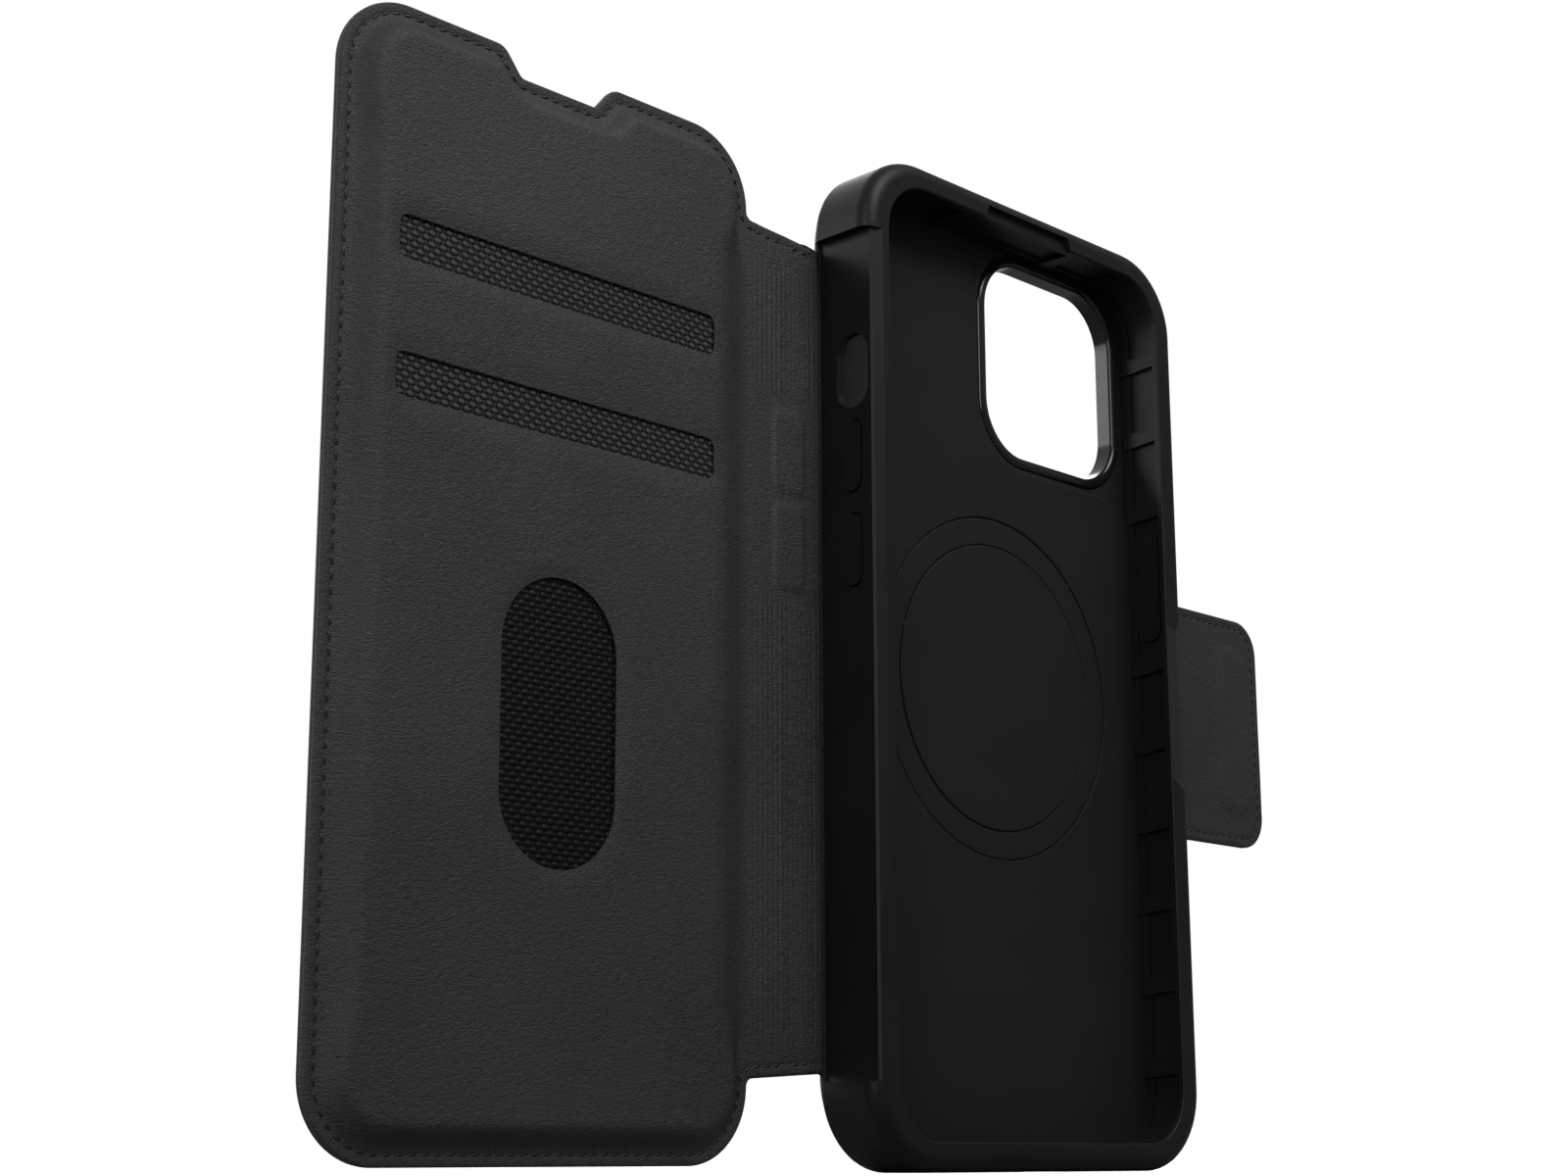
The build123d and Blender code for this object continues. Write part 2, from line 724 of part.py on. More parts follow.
# ---- one file for each named piece ----
pieces = [
    bumper_frame,
    back_plate,
    ring_magnets,
    ring_magnet_film,
    phone_liner,
    camera_bezel,
    back_panel,
    power_key,
    volume_up_key,
    volume_down_key,
    spine_outer,
    spine_lining,
    spine_key_pads,
    spine_stitching,
    cover_outer,
    cover_lining,
    cover_board,
    upper_pocket_mesh,
    lower_pocket_mesh,
    cover_catch_magnets,
    cover_stitching,
    latch_side_outer,
    latch_side_lining,
    latch_side_stitching,
    latch_tip_outer,
    latch_tip_lining,
    latch_magnets,
    latch_magnet_carrier,
    latch_tip_stitching,
]
os.makedirs("parts", exist_ok=True)
for piece in pieces:
    export_step(piece.part, "parts/" + piece.part.label + ".step")
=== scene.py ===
import json
import math

import bpy
import numpy as np
from mathutils import Matrix, Vector, noise
from mathutils.geometry import delaunay_2d_cdt


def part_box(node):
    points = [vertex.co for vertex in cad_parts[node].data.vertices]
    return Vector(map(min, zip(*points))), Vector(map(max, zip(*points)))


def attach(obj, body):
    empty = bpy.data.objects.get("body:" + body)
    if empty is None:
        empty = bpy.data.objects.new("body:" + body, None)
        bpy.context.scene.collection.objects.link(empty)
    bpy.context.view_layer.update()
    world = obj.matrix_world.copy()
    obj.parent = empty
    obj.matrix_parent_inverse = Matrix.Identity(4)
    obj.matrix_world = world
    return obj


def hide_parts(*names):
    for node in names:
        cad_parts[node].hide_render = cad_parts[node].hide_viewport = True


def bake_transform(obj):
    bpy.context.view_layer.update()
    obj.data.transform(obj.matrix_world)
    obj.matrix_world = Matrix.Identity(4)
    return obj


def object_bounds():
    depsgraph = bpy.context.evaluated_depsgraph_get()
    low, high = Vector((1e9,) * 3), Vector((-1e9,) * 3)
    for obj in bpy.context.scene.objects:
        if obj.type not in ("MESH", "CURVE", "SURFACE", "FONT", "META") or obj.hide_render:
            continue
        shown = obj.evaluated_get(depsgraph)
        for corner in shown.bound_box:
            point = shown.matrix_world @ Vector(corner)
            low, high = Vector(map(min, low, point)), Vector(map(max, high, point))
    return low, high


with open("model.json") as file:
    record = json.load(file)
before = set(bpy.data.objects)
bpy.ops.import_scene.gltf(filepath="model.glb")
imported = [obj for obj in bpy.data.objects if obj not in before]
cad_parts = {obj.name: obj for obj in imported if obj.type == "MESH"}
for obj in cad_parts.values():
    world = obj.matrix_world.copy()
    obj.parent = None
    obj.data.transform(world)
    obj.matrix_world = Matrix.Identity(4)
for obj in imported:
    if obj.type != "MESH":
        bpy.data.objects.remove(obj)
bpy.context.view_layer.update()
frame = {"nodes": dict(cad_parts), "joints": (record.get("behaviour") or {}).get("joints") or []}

# Looks of the wallet folio. Lengths are in millimetres in the frame of the CAD and are
# turned into metres when a mesh is made. +X right, +Y away from the screen, +Z up.
MM = 0.001


# ---------------------------------------------------------------- places from the frame
def box_mm(node):
    low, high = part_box(node)
    return low / MM, high / MM


fold = {}
for joint in frame["joints"]:
    if "pos_m" in joint:
        fold[joint["name"]] = Vector(joint["pos_m"]) / MM
spine_x = fold["spine_fold"].x
cover_fold_x = fold["cover_fold"].x
latch_x = fold["latch_fold"].x
tip_x = fold["latch_tip_fold"].x
fold_y = fold["spine_fold"].y                 # plane between outer leather and lining

cover_low, cover_high = box_mm("cover_outer")
lining_low, _ = box_mm("cover_lining")
panel_low, panel_high = box_mm("back_panel")
spine_low, spine_high = box_mm("spine_outer")
tip_low, tip_high = box_mm("latch_tip_outer")
liner_low, liner_high = box_mm("phone_liner")
bezel_low, bezel_high = box_mm("camera_bezel")
ring_low, ring_high = box_mm("ring_magnets")
_, upper_mesh_high = box_mm("upper_pocket_mesh")
_, lower_mesh_high = box_mm("lower_pocket_mesh")
pads_low, pads_high = box_mm("spine_key_pads")
carrier_low, carrier_high = box_mm("latch_magnet_carrier")

leather = -fold_y
lining_y = fold_y - leather                   # face of the lining where it lies flat
plateau_y = lining_low.y                      # face of the padded middle of the cover
middle_spine_x = (spine_x + cover_fold_x) / 2
middle_latch_x = (latch_x + tip_x) / 2
bend = 1.1                                    # half the width of a leather fold
strap_cut_x = latch_x - bend

# ---- shape details that the frame's boxes don't give ----
cover_corner = 11.0
cover_notch = (20.0, 3.9, 3.2)                # width at the top, depth, slant
notch_corner = 2.6
inner_corner = 1.2                            # small hollow corner where two edges meet
panel_corner = 13.0
latch_corner = 6.0
spine_taper = 1.0                             # the spine is this much shorter at the shell
stitch_inset = 1.6
stitch_pitch = 1.95
stitch_length = 1.55
thread_radius = 0.17
window_size = (56.5, 6.1, 1.4)                # width, height, corner
thumb_size = (20.0, 39.5)
thumb_z = cover_low.z + 57.9
ramp_start = 2.0                              # the padded middle rises between these
ramp_end = 5.3                                # distances from the cover's edge
gentle_end = 8.5                              # and up to this one along its long sides
flute_pitch = 1.02


# ---------------------------------------------------------------- outlines
def rounded_path(corners, step=0.7):
    """Closed outline through corners (x, z, radius), each turned as an arc."""
    points = []
    count = len(corners)
    for index, (x, z, radius) in enumerate(corners):
        here = np.array((x, z), float)
        before = np.array(corners[index - 1][:2]) - here
        after = np.array(corners[(index + 1) % count][:2]) - here
        before /= np.linalg.norm(before)
        after /= np.linalg.norm(after)
        if radius == 0:
            points.append(here)
            continue
        half = math.acos(float(np.clip(before @ after, -1, 1))) / 2
        middle = (before + after) / np.linalg.norm(before + after)
        centre = here + middle * radius / math.sin(half)
        first = here + before * radius / math.tan(half) - centre
        last = here + after * radius / math.tan(half) - centre
        angle = math.atan2(first[1], first[0])
        turn = math.atan2(last[1], last[0]) - angle
        turn = (turn + math.pi) % (2 * math.pi) - math.pi
        count_arc = max(4, math.ceil(abs(turn) * radius / step))
        for part in range(count_arc + 1):
            a = angle + turn * part / count_arc
            points.append(centre + radius * np.array((math.cos(a), math.sin(a))))
    dense = []
    for p, q in zip(points, points[1:] + points[:1]):
        cuts = max(1, math.ceil(np.linalg.norm(q - p) / step))
        dense += [p + (q - p) * k / cuts for k in range(cuts)]
    return np.array(dense)


def circle_path(centre, radius, count):
    angles = np.arange(count) * 2 * math.pi / count
    return np.array(centre) + radius * np.stack([np.cos(angles), np.sin(angles)], 1)


def turning_points(outline):
    """The points where an outline changes direction."""
    before = outline - np.roll(outline, 1, 0)
    after = np.roll(outline, -1, 0) - outline
    turn = np.abs(before[:, 0] * after[:, 1] - before[:, 1] * after[:, 0])
    return outline[turn > 1e-6]


def edge_distance(points, outline):
    """Distance from each point to a closed outline: positive inside, negative outside."""
    a = turning_points(outline)
    b = np.roll(a, -1, 0)
    step = b - a
    length2 = (step ** 2).sum(1)
    rise = np.where(step[:, 1] == 0, 1e-12, step[:, 1])
    result = np.empty(len(points))
    for start in range(0, len(points), 3000):
        p = points[start:start + 3000]
        offset = p[:, None, :] - a[None]
        along = np.clip((offset * step).sum(2) / length2, 0, 1)
        away = offset - along[:, :, None] * step
        near = np.sqrt((away ** 2).sum(2).min(1))
        above = (a[None, :, 1] > p[:, None, 1]) != (b[None, :, 1] > p[:, None, 1])
        cross = a[None, :, 0] + (p[:, None, 1] - a[None, :, 1]) * step[:, 0] / rise
        inside = (above & (p[:, None, 0] < cross)).sum(1) % 2 == 1
        result[start:start + 3000] = np.where(inside, near, -near)
    return result


def offset_path(outline, inset):
    """The outline moved inwards, without the loops that tight corners would make."""
    forward = np.roll(outline, -1, 0) - np.roll(outline, 1, 0)
    forward /= np.linalg.norm(forward, axis=1)[:, None]
    moved = outline + inset * np.stack([-forward[:, 1], forward[:, 0]], 1)
    return moved[edge_distance(moved, outline) > abs(inset) * 0.97 - 0.02]


def smooth(value):
    t = np.clip(value, 0, 1)
    return t * t * (3 - 2 * t)


def roll(distance, radius):
    """How far a rounded edge falls back, at a distance from the edge."""
    t = np.clip(1 - distance / radius, 0, 1)
    return radius * (1 - np.sqrt(1 - t ** 2))


def dent(value, width):
    return np.exp(-(value / width) ** 2)


def waves(points, size, seed):
    """Slow undulation of hand-laid leather, between -1 and 1."""
    values = []
    for x, z in points:
        values.append(noise.noise(Vector((x / size, seed, z / size))))
    return np.array(values)


def cover_corners():
    left, right = cover_low.x, cover_high.x
    low, high = cover_low.z, cover_high.z
    width, depth, slant = cover_notch
    middle = (left + right) / 2
    return [
        (right, high, cover_corner),
        (middle + width / 2, high, notch_corner),
        (middle + width / 2 - slant, high - depth, inner_corner),
        (middle - width / 2 + slant, high - depth, inner_corner),
        (middle - width / 2, high, notch_corner),
        (left, high, cover_corner),
        (left, low, cover_corner),
        (right, low, cover_corner),
    ]


def spine_edge(x, top):
    """Height of the spine's top or bottom edge at x."""
    along = (x - cover_fold_x) / (spine_x - cover_fold_x)
    return spine_high.z - spine_taper * along if top else spine_low.z + spine_taper * along


def spine_join(x, radius):
    return [(x, spine_edge(x, False), radius), (x, spine_edge(x, True), radius)]


def with_spine(end_x):
    """Cover and spine as one outline, the spine cut off straight at end_x."""
    right = cover_high.x
    return [
        (right, spine_edge(right, False), inner_corner),
        *spine_join(end_x, 0),
        (right, spine_edge(right, True), inner_corner),
        *cover_corners(),
    ]


def latch_corners(start_x):
    return [
        (start_x, tip_low.z, 0),
        (tip_high.x, tip_low.z, latch_corner),
        (tip_high.x, tip_high.z, latch_corner),
        (start_x, tip_high.z, 0),
    ]


_, shell_high = box_mm("bumper_frame")
panel_side = shell_high.x - (shell_high.z - panel_high.z)
cover_shape = rounded_path(cover_corners())
lining_shape = rounded_path(with_spine(spine_x - 0.15))
latch_lining_shape = rounded_path(latch_corners(latch_x - bend))
back_shape = rounded_path([
    (cover_high.x, spine_edge(cover_high.x, False), inner_corner),
    (-panel_side, spine_edge(-panel_side, False), inner_corner / 2),
    (-panel_side, panel_low.z, panel_corner),
    (panel_side, panel_low.z, panel_corner),
    (panel_side, tip_low.z, inner_corner / 2),
    (tip_high.x, tip_low.z, latch_corner),
    (tip_high.x, tip_high.z, latch_corner),
    (panel_side, tip_high.z, inner_corner / 2),
    (panel_side, panel_high.z, panel_corner),
    (-panel_side, panel_high.z, panel_corner),
    (-panel_side, spine_edge(-panel_side, True), inner_corner / 2),
    (cover_high.x, spine_edge(cover_high.x, True), inner_corner),
    *cover_corners(),
])


def rounded_box(centre, width, height, corner):
    x, z = centre
    return rounded_path([
        (x - width / 2, z - height / 2, corner),
        (x + width / 2, z - height / 2, corner),
        (x + width / 2, z + height / 2, corner),
        (x - width / 2, z + height / 2, corner),
    ], 0.5)


cover_x = (cover_low.x + cover_high.x) / 2
window_rise = window_size[1]
upper_window = (cover_x, upper_mesh_high.z - window_rise)
lower_window = (cover_x, lower_mesh_high.z - window_rise)
windows = [
    rounded_box(upper_window, *window_size),
    rounded_box(lower_window, *window_size),
    rounded_box((cover_x, thumb_z), *thumb_size, thumb_size[0] / 2 - 0.01),
]


# ---------------------------------------------------------------- mesh building
def new_object(name, vertices, faces, material, smooth_angle=50):
    """Mesh object from points in millimetres."""
    mesh = bpy.data.meshes.new(name)
    mesh.from_pydata((np.asarray(vertices) * MM).tolist(), [], faces)
    mesh.validate()
    mesh.polygons.foreach_set("use_smooth", [True] * len(mesh.polygons))
    mesh.set_sharp_from_angle(angle=math.radians(smooth_angle))
    mesh.materials.append(material)
    thing = bpy.data.objects.new(name, mesh)
    bpy.context.scene.collection.objects.link(thing)
    return thing


# rows of points at these distances from a leather edge: closest where it rolls over
# and beside the stitching, and then along the slope up to the padding
edge_rows = (0.07, 0.18, 0.32, 0.5, 0.85, 1.15, 1.32, 1.46, 1.6, 1.74, 1.88, 2.05,
             2.5, 3.0, 3.6, 4.2, 4.8, 5.4, 6.2)
hole_rows = (0.07, 0.18, 0.32, 0.5, 0.9)
closest = 0.035                               # points are dropped closer to an edge than this


def sheet(name, outline, shapes, front, back, material, holes=(), grid=1.6, insets=None, extra=None,
          clear_field=True):
    """Closed soft sheet cut to an outline with holes. Front and back give the depth of
    each face at points; rows of points follow the shapes' edges at the given insets. Extra
    points are added, and the plain grid is left out where they lie if clear_field is set."""
    insets = insets or edge_rows
    loops = [outline, *holes]
    edges = []
    start = 0
    for loop in loops:
        count = len(loop)
        edges += [(start + k, start + (k + 1) % count) for k in range(count)]
        start += count
    rows = []
    for shape in shapes:
        rows += [offset_path(shape, inset) for inset in insets]
    for hole in holes:
        rows += [offset_path(hole, -gap) for gap in hole_rows]
    if extra is not None:
        rows.append(extra)
    low, high = outline.min(0), outline.max(0)
    xs = np.arange(low[0] + grid / 2, high[0], grid)
    zs = np.arange(low[1] + grid / 2, high[1], grid)
    field = np.stack(np.meshgrid(xs, zs), -1).reshape(-1, 2)
    if extra is not None and clear_field:
        field = field[(field[:, 0] < extra[:, 0].min()) | (field[:, 0] > extra[:, 0].max())
                      | (field[:, 1] < extra[:, 1].min()) | (field[:, 1] > extra[:, 1].max())]
    for shape in shapes:
        near = edge_distance(field, shape)
        field = field[(near > insets[-1] + 0.5) | (near < 0)]
    for hole in holes:
        field = field[edge_distance(field, hole) < -1.5]
    rows.append(field)
    inner = np.concatenate(rows)
    inner = inner[edge_distance(inner, outline) > closest]
    for hole in holes:
        inner = inner[edge_distance(inner, hole) < -closest]
    points = np.concatenate([*loops, inner])
    flat, _, faces, _, _, _ = delaunay_2d_cdt([Vector(p) for p in points], edges, [], 1, 1e-4)
    flat = np.array([tuple(p) for p in flat])
    middles = np.array([flat[list(face)].mean(0) for face in faces])
    wanted = np.ones(len(faces), bool)
    for hole in holes:
        wanted &= edge_distance(middles, hole) < 0
    faces = [face for face, keep in zip(faces, wanted) if keep]
    used = sorted({v for face in faces for v in face})
    index = {v: k for k, v in enumerate(used)}
    flat = flat[used]
    faces = [[index[v] for v in face] for face in faces]
    turned = []
    for face in faces:
        a, b, c = (flat[v] for v in face[:3])
        left_handed = (b[0] - a[0]) * (c[1] - a[1]) - (b[1] - a[1]) * (c[0] - a[0]) < 0
        turned.append(face[::-1] if left_handed else face)
    count = len(flat)
    front_points = np.stack([flat[:, 0], front(flat), flat[:, 1]], 1)
    back_points = np.stack([flat[:, 0], back(flat), flat[:, 1]], 1)
    sides = {}
    for face in turned:
        for k, a in enumerate(face):
            b = face[(k + 1) % len(face)]
            if (b, a) in sides:
                del sides[(b, a)]
            else:
                sides[(a, b)] = True
    solid = list(turned)
    solid += [[v + count for v in face[::-1]] for face in turned]
    solid += [[b, a, a + count, b + count] for a, b in sides]
    return new_object(name, np.concatenate([front_points, back_points]), solid, material)


def between(points, low_x, high_x):
    return (points[:, 0] > low_x) & (points[:, 0] < high_x)


# ---------------------------------------------------------------- materials
def material(name):
    made = bpy.data.materials.new(name)
    made.use_nodes = True
    nodes = made.node_tree.nodes
    surface = nodes["Principled BSDF"]
    place = nodes.new("ShaderNodeTexCoord").outputs["Object"]
    return made, made.node_tree, surface, place


def node(tree, kind, links=(), **values):
    """A shader node with its inputs set by name or linked."""
    made = tree.nodes.new(kind)
    for key, value in values.items():
        if key in made.inputs:
            made.inputs[key].default_value = value
        else:
            setattr(made, key, value)
    for socket, source in dict(links).items():
        tree.links.new(source, made.inputs[socket])
    return made


def stretched(tree, place, scale):
    return node(tree, "ShaderNodeMapping", {"Vector": place}, Scale=scale).outputs["Vector"]


def ramp(tree, source, low, high, first, last):
    """Colour ramp from first to last as the source goes from low to high."""
    made = node(tree, "ShaderNodeValToRGB", {"Fac": source})
    made.color_ramp.elements[0].position = low
    made.color_ramp.elements[1].position = high
    made.color_ramp.elements[0].color = (*first, 1)
    made.color_ramp.elements[1].color = (*last, 1)
    return made.outputs["Color"]


def math_node(tree, operation, a, b):
    made = tree.nodes.new("ShaderNodeMath")
    made.operation = operation
    for socket, value in zip(made.inputs, (a, b)):
        if isinstance(value, (int, float)):
            socket.default_value = value
        else:
            tree.links.new(value, socket)
    return made.outputs["Value"]


def bump(tree, height, strength, distance, normal=None):
    made = node(tree, "ShaderNodeBump", {"Height": height}, Strength=strength, Distance=distance)
    if normal is not None:
        tree.links.new(normal, made.inputs["Normal"])
    return made.outputs["Normal"]


def leather_material(name, dark, light, roughness):
    """Fine grained leather: short creases lying mostly across, over a soft mottling."""
    made, tree, surface, place = material(name)
    warp = node(tree, "ShaderNodeTexNoise", {"Vector": place}, Scale=420.0, Detail=2.0)
    bent = node(tree, "ShaderNodeMixRGB", {"Color1": place, "Color2": warp.outputs["Color"]}, Fac=0.0006)
    creases = stretched(tree, bent.outputs["Color"], (1050, 450, 2900))
    grain = node(tree, "ShaderNodeTexNoise", {"Vector": creases}, Scale=1.0, Detail=4.0, Roughness=0.6)
    pebbles = stretched(tree, place, (1500, 1500, 2300))
    cells = node(tree, "ShaderNodeTexVoronoi", {"Vector": pebbles}, Scale=1.0)
    cells.feature = "DISTANCE_TO_EDGE"
    pores = node(tree, "ShaderNodeTexNoise", {"Vector": place}, Scale=5200.0, Detail=1.0)
    patch = node(tree, "ShaderNodeTexNoise", {"Vector": place}, Scale=38.0, Detail=3.0)
    edge_of_cell = ramp(tree, cells.outputs["Distance"], 0.0, 0.22, (0, 0, 0), (1, 1, 1))
    height = math_node(tree, "ADD", grain.outputs["Fac"], math_node(tree, "MULTIPLY", edge_of_cell, 0.22))
    mottled = math_node(tree, "MULTIPLY", patch.outputs["Fac"], 0.5)
    tone = math_node(tree, "ADD", math_node(tree, "MULTIPLY", grain.outputs["Fac"], 0.7), mottled)
    tree.links.new(ramp(tree, tone, 0.32, 0.86, dark, light), surface.inputs["Base Color"])
    coarse = bump(tree, height, 0.8, 0.00022)
    fine = bump(tree, pores.outputs["Fac"], 0.3, 0.0001, coarse)
    tree.links.new(fine, surface.inputs["Normal"])
    shine = ramp(tree, grain.outputs["Fac"], 0.3, 0.75, (roughness - 0.06,) * 3, (roughness + 0.08,) * 3)
    tree.links.new(shine, surface.inputs["Roughness"])
    surface.inputs["Specular IOR Level"].default_value = 0.38
    return made


def moulded_material(name, colour, roughness, texture, specular=0.4):
    """Moulded plastic or rubber with a fine spark-eroded texture and faint handling marks."""
    made, tree, surface, place = material(name)
    fine = node(tree, "ShaderNodeTexNoise", {"Vector": place}, Scale=3800.0, Detail=2.0)
    marks = node(tree, "ShaderNodeTexNoise", {"Vector": place}, Scale=60.0, Detail=4.0)
    darker = tuple(c * 0.85 for c in colour)
    lighter = tuple(c * 1.15 for c in colour)
    tone = ramp(tree, marks.outputs["Fac"], 0.3, 0.7, darker, lighter)
    tree.links.new(tone, surface.inputs["Base Color"])
    shine = ramp(tree, marks.outputs["Fac"], 0.3, 0.7, (roughness - 0.03,) * 3, (roughness + 0.04,) * 3)
    tree.links.new(shine, surface.inputs["Roughness"])
    tree.links.new(bump(tree, fine.outputs["Fac"], texture, 0.00004), surface.inputs["Normal"])
    surface.inputs["Specular IOR Level"].default_value = specular
    return made


def cloth_material(name, colour, light):
    """Microfibre: a dense short nap with a faint sheen; painted shade darkens its colour and its reflection
    along the ring grooves.
    """
    made, tree, surface, place = material(name)
    nap = node(tree, "ShaderNodeTexNoise", {"Vector": place}, Scale=2600.0, Detail=4.0, Roughness=0.7)
    stroke = node(tree, "ShaderNodeTexNoise", {"Vector": stretched(tree, place, (30, 30, 90))}, Scale=1.0)
    short_nap = math_node(tree, "MULTIPLY", nap.outputs["Fac"], 0.6)
    mixed = math_node(tree, "ADD", short_nap, stroke.outputs["Fac"])
    painted_line_shade = node(tree, "ShaderNodeAttribute", attribute_name="painted_line_shade").outputs["Fac"]
    # painted shade: 1 off the ring lines, 0.05 on them; it darkens the nap colour and cuts its reflection
    painted_line_shade_factor = math_node(tree, "SUBTRACT", 1.0, math_node(tree, "MULTIPLY", painted_line_shade, 0.95))
    nap_colour = ramp(tree, mixed, 0.55, 1.05, colour, light)
    both = {"Color1": nap_colour, "Color2": painted_line_shade_factor}
    shaded = node(tree, "ShaderNodeMixRGB", both, blend_type="MULTIPLY", Fac=1.0)
    tree.links.new(shaded.outputs["Color"], surface.inputs["Base Color"])
    tree.links.new(bump(tree, nap.outputs["Fac"], 0.25, 0.00005), surface.inputs["Normal"])
    tree.links.new(math_node(tree, "MULTIPLY", painted_line_shade_factor, 0.25), surface.inputs["Specular IOR Level"])
    surface.inputs["Roughness"].default_value = 0.62
    surface.inputs["Sheen Weight"].default_value = 0.02
    return made


def yarn_material(name, dark, light, roughness, twist):
    """Twisted yarn: fine strands across each thread."""
    made, tree, surface, place = material(name)
    strands = node(tree, "ShaderNodeTexWave", {"Vector": place}, Scale=twist, Distortion=2.0)
    strands.bands_direction = "DIAGONAL"
    fibres = node(tree, "ShaderNodeTexNoise", {"Vector": place}, Scale=4200.0, Detail=3.0)
    half_strands = math_node(tree, "MULTIPLY", strands.outputs["Fac"], 0.5)
    mixed = math_node(tree, "ADD", half_strands, fibres.outputs["Fac"])
    tree.links.new(ramp(tree, mixed, 0.45, 1.1, dark, light), surface.inputs["Base Color"])
    tree.links.new(bump(tree, mixed, 0.35, 0.00006), surface.inputs["Normal"])
    surface.inputs["Roughness"].default_value = roughness
    return made


def mesh_material(name):
    """Coarse woven mesh: painted highlight on the thread tops and painted shade in the gaps, set from the
    height attribute.
    """
    made, tree, surface, place = material(name)
    rise = node(tree, "ShaderNodeAttribute", attribute_name="rise").outputs["Fac"]
    drawn_out = stretched(tree, place, (900, 900, 5200))
    fibres = node(tree, "ShaderNodeTexNoise", {"Vector": drawn_out}, Scale=1.0)
    # painted light: near black where the threads are low, light on their tops, plus random fibre streaks
    tone = math_node(tree, "ADD", rise, math_node(tree, "MULTIPLY", fibres.outputs["Fac"], 0.25))
    tree.links.new(ramp(tree, tone, 0.66, 1.2, (0.0015, 0.0015, 0.0015), (0.06, 0.06, 0.06)),
                   surface.inputs["Base Color"])
    tree.links.new(bump(tree, fibres.outputs["Fac"], 0.4, 0.00006), surface.inputs["Normal"])
    surface.inputs["Roughness"].default_value = 0.5
    surface.inputs["Specular IOR Level"].default_value = 0.2
    return made


def metal_material(name, colour):
    made, tree, surface, place = material(name)
    scratches = stretched(tree, place, (200, 200, 6000))
    brushed = node(tree, "ShaderNodeTexNoise", {"Vector": scratches}, Scale=1.0)
    tone = ramp(tree, brushed.outputs["Fac"], 0.3, 0.7, colour, (0.8, 0.8, 0.8))
    tree.links.new(tone, surface.inputs["Base Color"])
    surface.inputs["Metallic"].default_value = 1.0
    surface.inputs["Roughness"].default_value = 0.3
    return made


outer_leather = leather_material("outer_leather", (0.020, 0.020, 0.021), (0.044, 0.044, 0.046), 0.5)
soft_leather = leather_material("soft_leather", (0.021, 0.021, 0.022), (0.046, 0.046, 0.048), 0.54)
shell_rubber = moulded_material("shell_rubber_looks", (0.0083, 0.0083, 0.0086), 0.46, 0.12, 0.25)
key_rubber = moulded_material("key_rubber_looks", (0.0085, 0.0085, 0.0088), 0.42, 0.16, 0.3)
plate_plastic = moulded_material("plate_plastic", (0.012, 0.012, 0.0125), 0.5, 0.2)
gloss_bead = moulded_material("gloss_bead", (0.008, 0.008, 0.008), 0.16, 0.01, 0.55)
liner_cloth = cloth_material("liner_microfibre", (0.0072, 0.0072, 0.0074), (0.0102, 0.0102, 0.0106))
mesh_yarn = mesh_material("mesh_yarn")
seam_thread = yarn_material("seam_thread", (0.006, 0.006, 0.006), (0.016, 0.016, 0.016), 0.42, 1400)
magnet_metal = metal_material("magnet_nickel", (0.55, 0.54, 0.52))
film_plastic = moulded_material("clear_film", (0.6, 0.6, 0.58), 0.3, 0.05)
fibre_board = moulded_material("grey_fibre_board", (0.32, 0.28, 0.22), 0.85, 0.5)


# ---------------------------------------------------------------- leather faces
def groove(distance):
    """The line that a row of stitches presses into the leather."""
    return 0.13 * dent(distance - stitch_inset, 0.36)


def plateau(points):
    """0 on the flat rim of the cover, 1 on its padded middle; both long sides slope gently."""
    x, z = points[:, 0], points[:, 1]
    beside_spine = smooth((z - spine_low.z - 2) / 8) * smooth((spine_high.z - 2 - z) / 8)
    right = beside_spine * smooth((x - cover_high.x + 14) / 4)
    left = 0.45 * beside_spine * smooth((cover_low.x + 14 - x) / 4)
    start = ramp_start * (1 - right)
    end = ramp_end + (gentle_end - ramp_end) * (right + left)
    return smooth((edge_distance(points, cover_shape) - start) / (end - start))


def near_windows(points):
    return np.max([edge_distance(points, hole) for hole in windows], axis=0)


def flutes(points):
    """Fine upright flutes on the spine, left out over the key pads."""
    x, z = points[:, 0], points[:, 1]
    first, last = cover_fold_x - 0.4, spine_x - 0.5
    across = smooth((x - first) / 3.0) * smooth((last - x) / 0.8)
    margin = 3.0
    clear = 1 - smooth((z - pads_low.z + margin) / 1.5) * smooth((pads_high.z + margin - z) / 1.5)
    ends = smooth((z - spine_low.z - 3.4) / 2) * smooth((spine_high.z - 3.4 - z) / 2)
    return 0.05 * across * clear * ends * (1 + np.cos(2 * math.pi * (x - first) / flute_pitch))


def key_pads(points):
    """Two soft raised pads where the closed spine lies over the volume keys."""
    x = (pads_low.x + pads_high.x) / 2
    length = (pads_high.z - pads_low.z - 1.8) / 2
    raised = 0
    for z in (pads_low.z + length / 2, pads_high.z - length / 2):
        pad = rounded_box((x, z), pads_high.x - pads_low.x, length, 1.5)
        raised = raised + 0.3 * smooth((edge_distance(points, pad) + 0.5) / 1.0)
    return raised


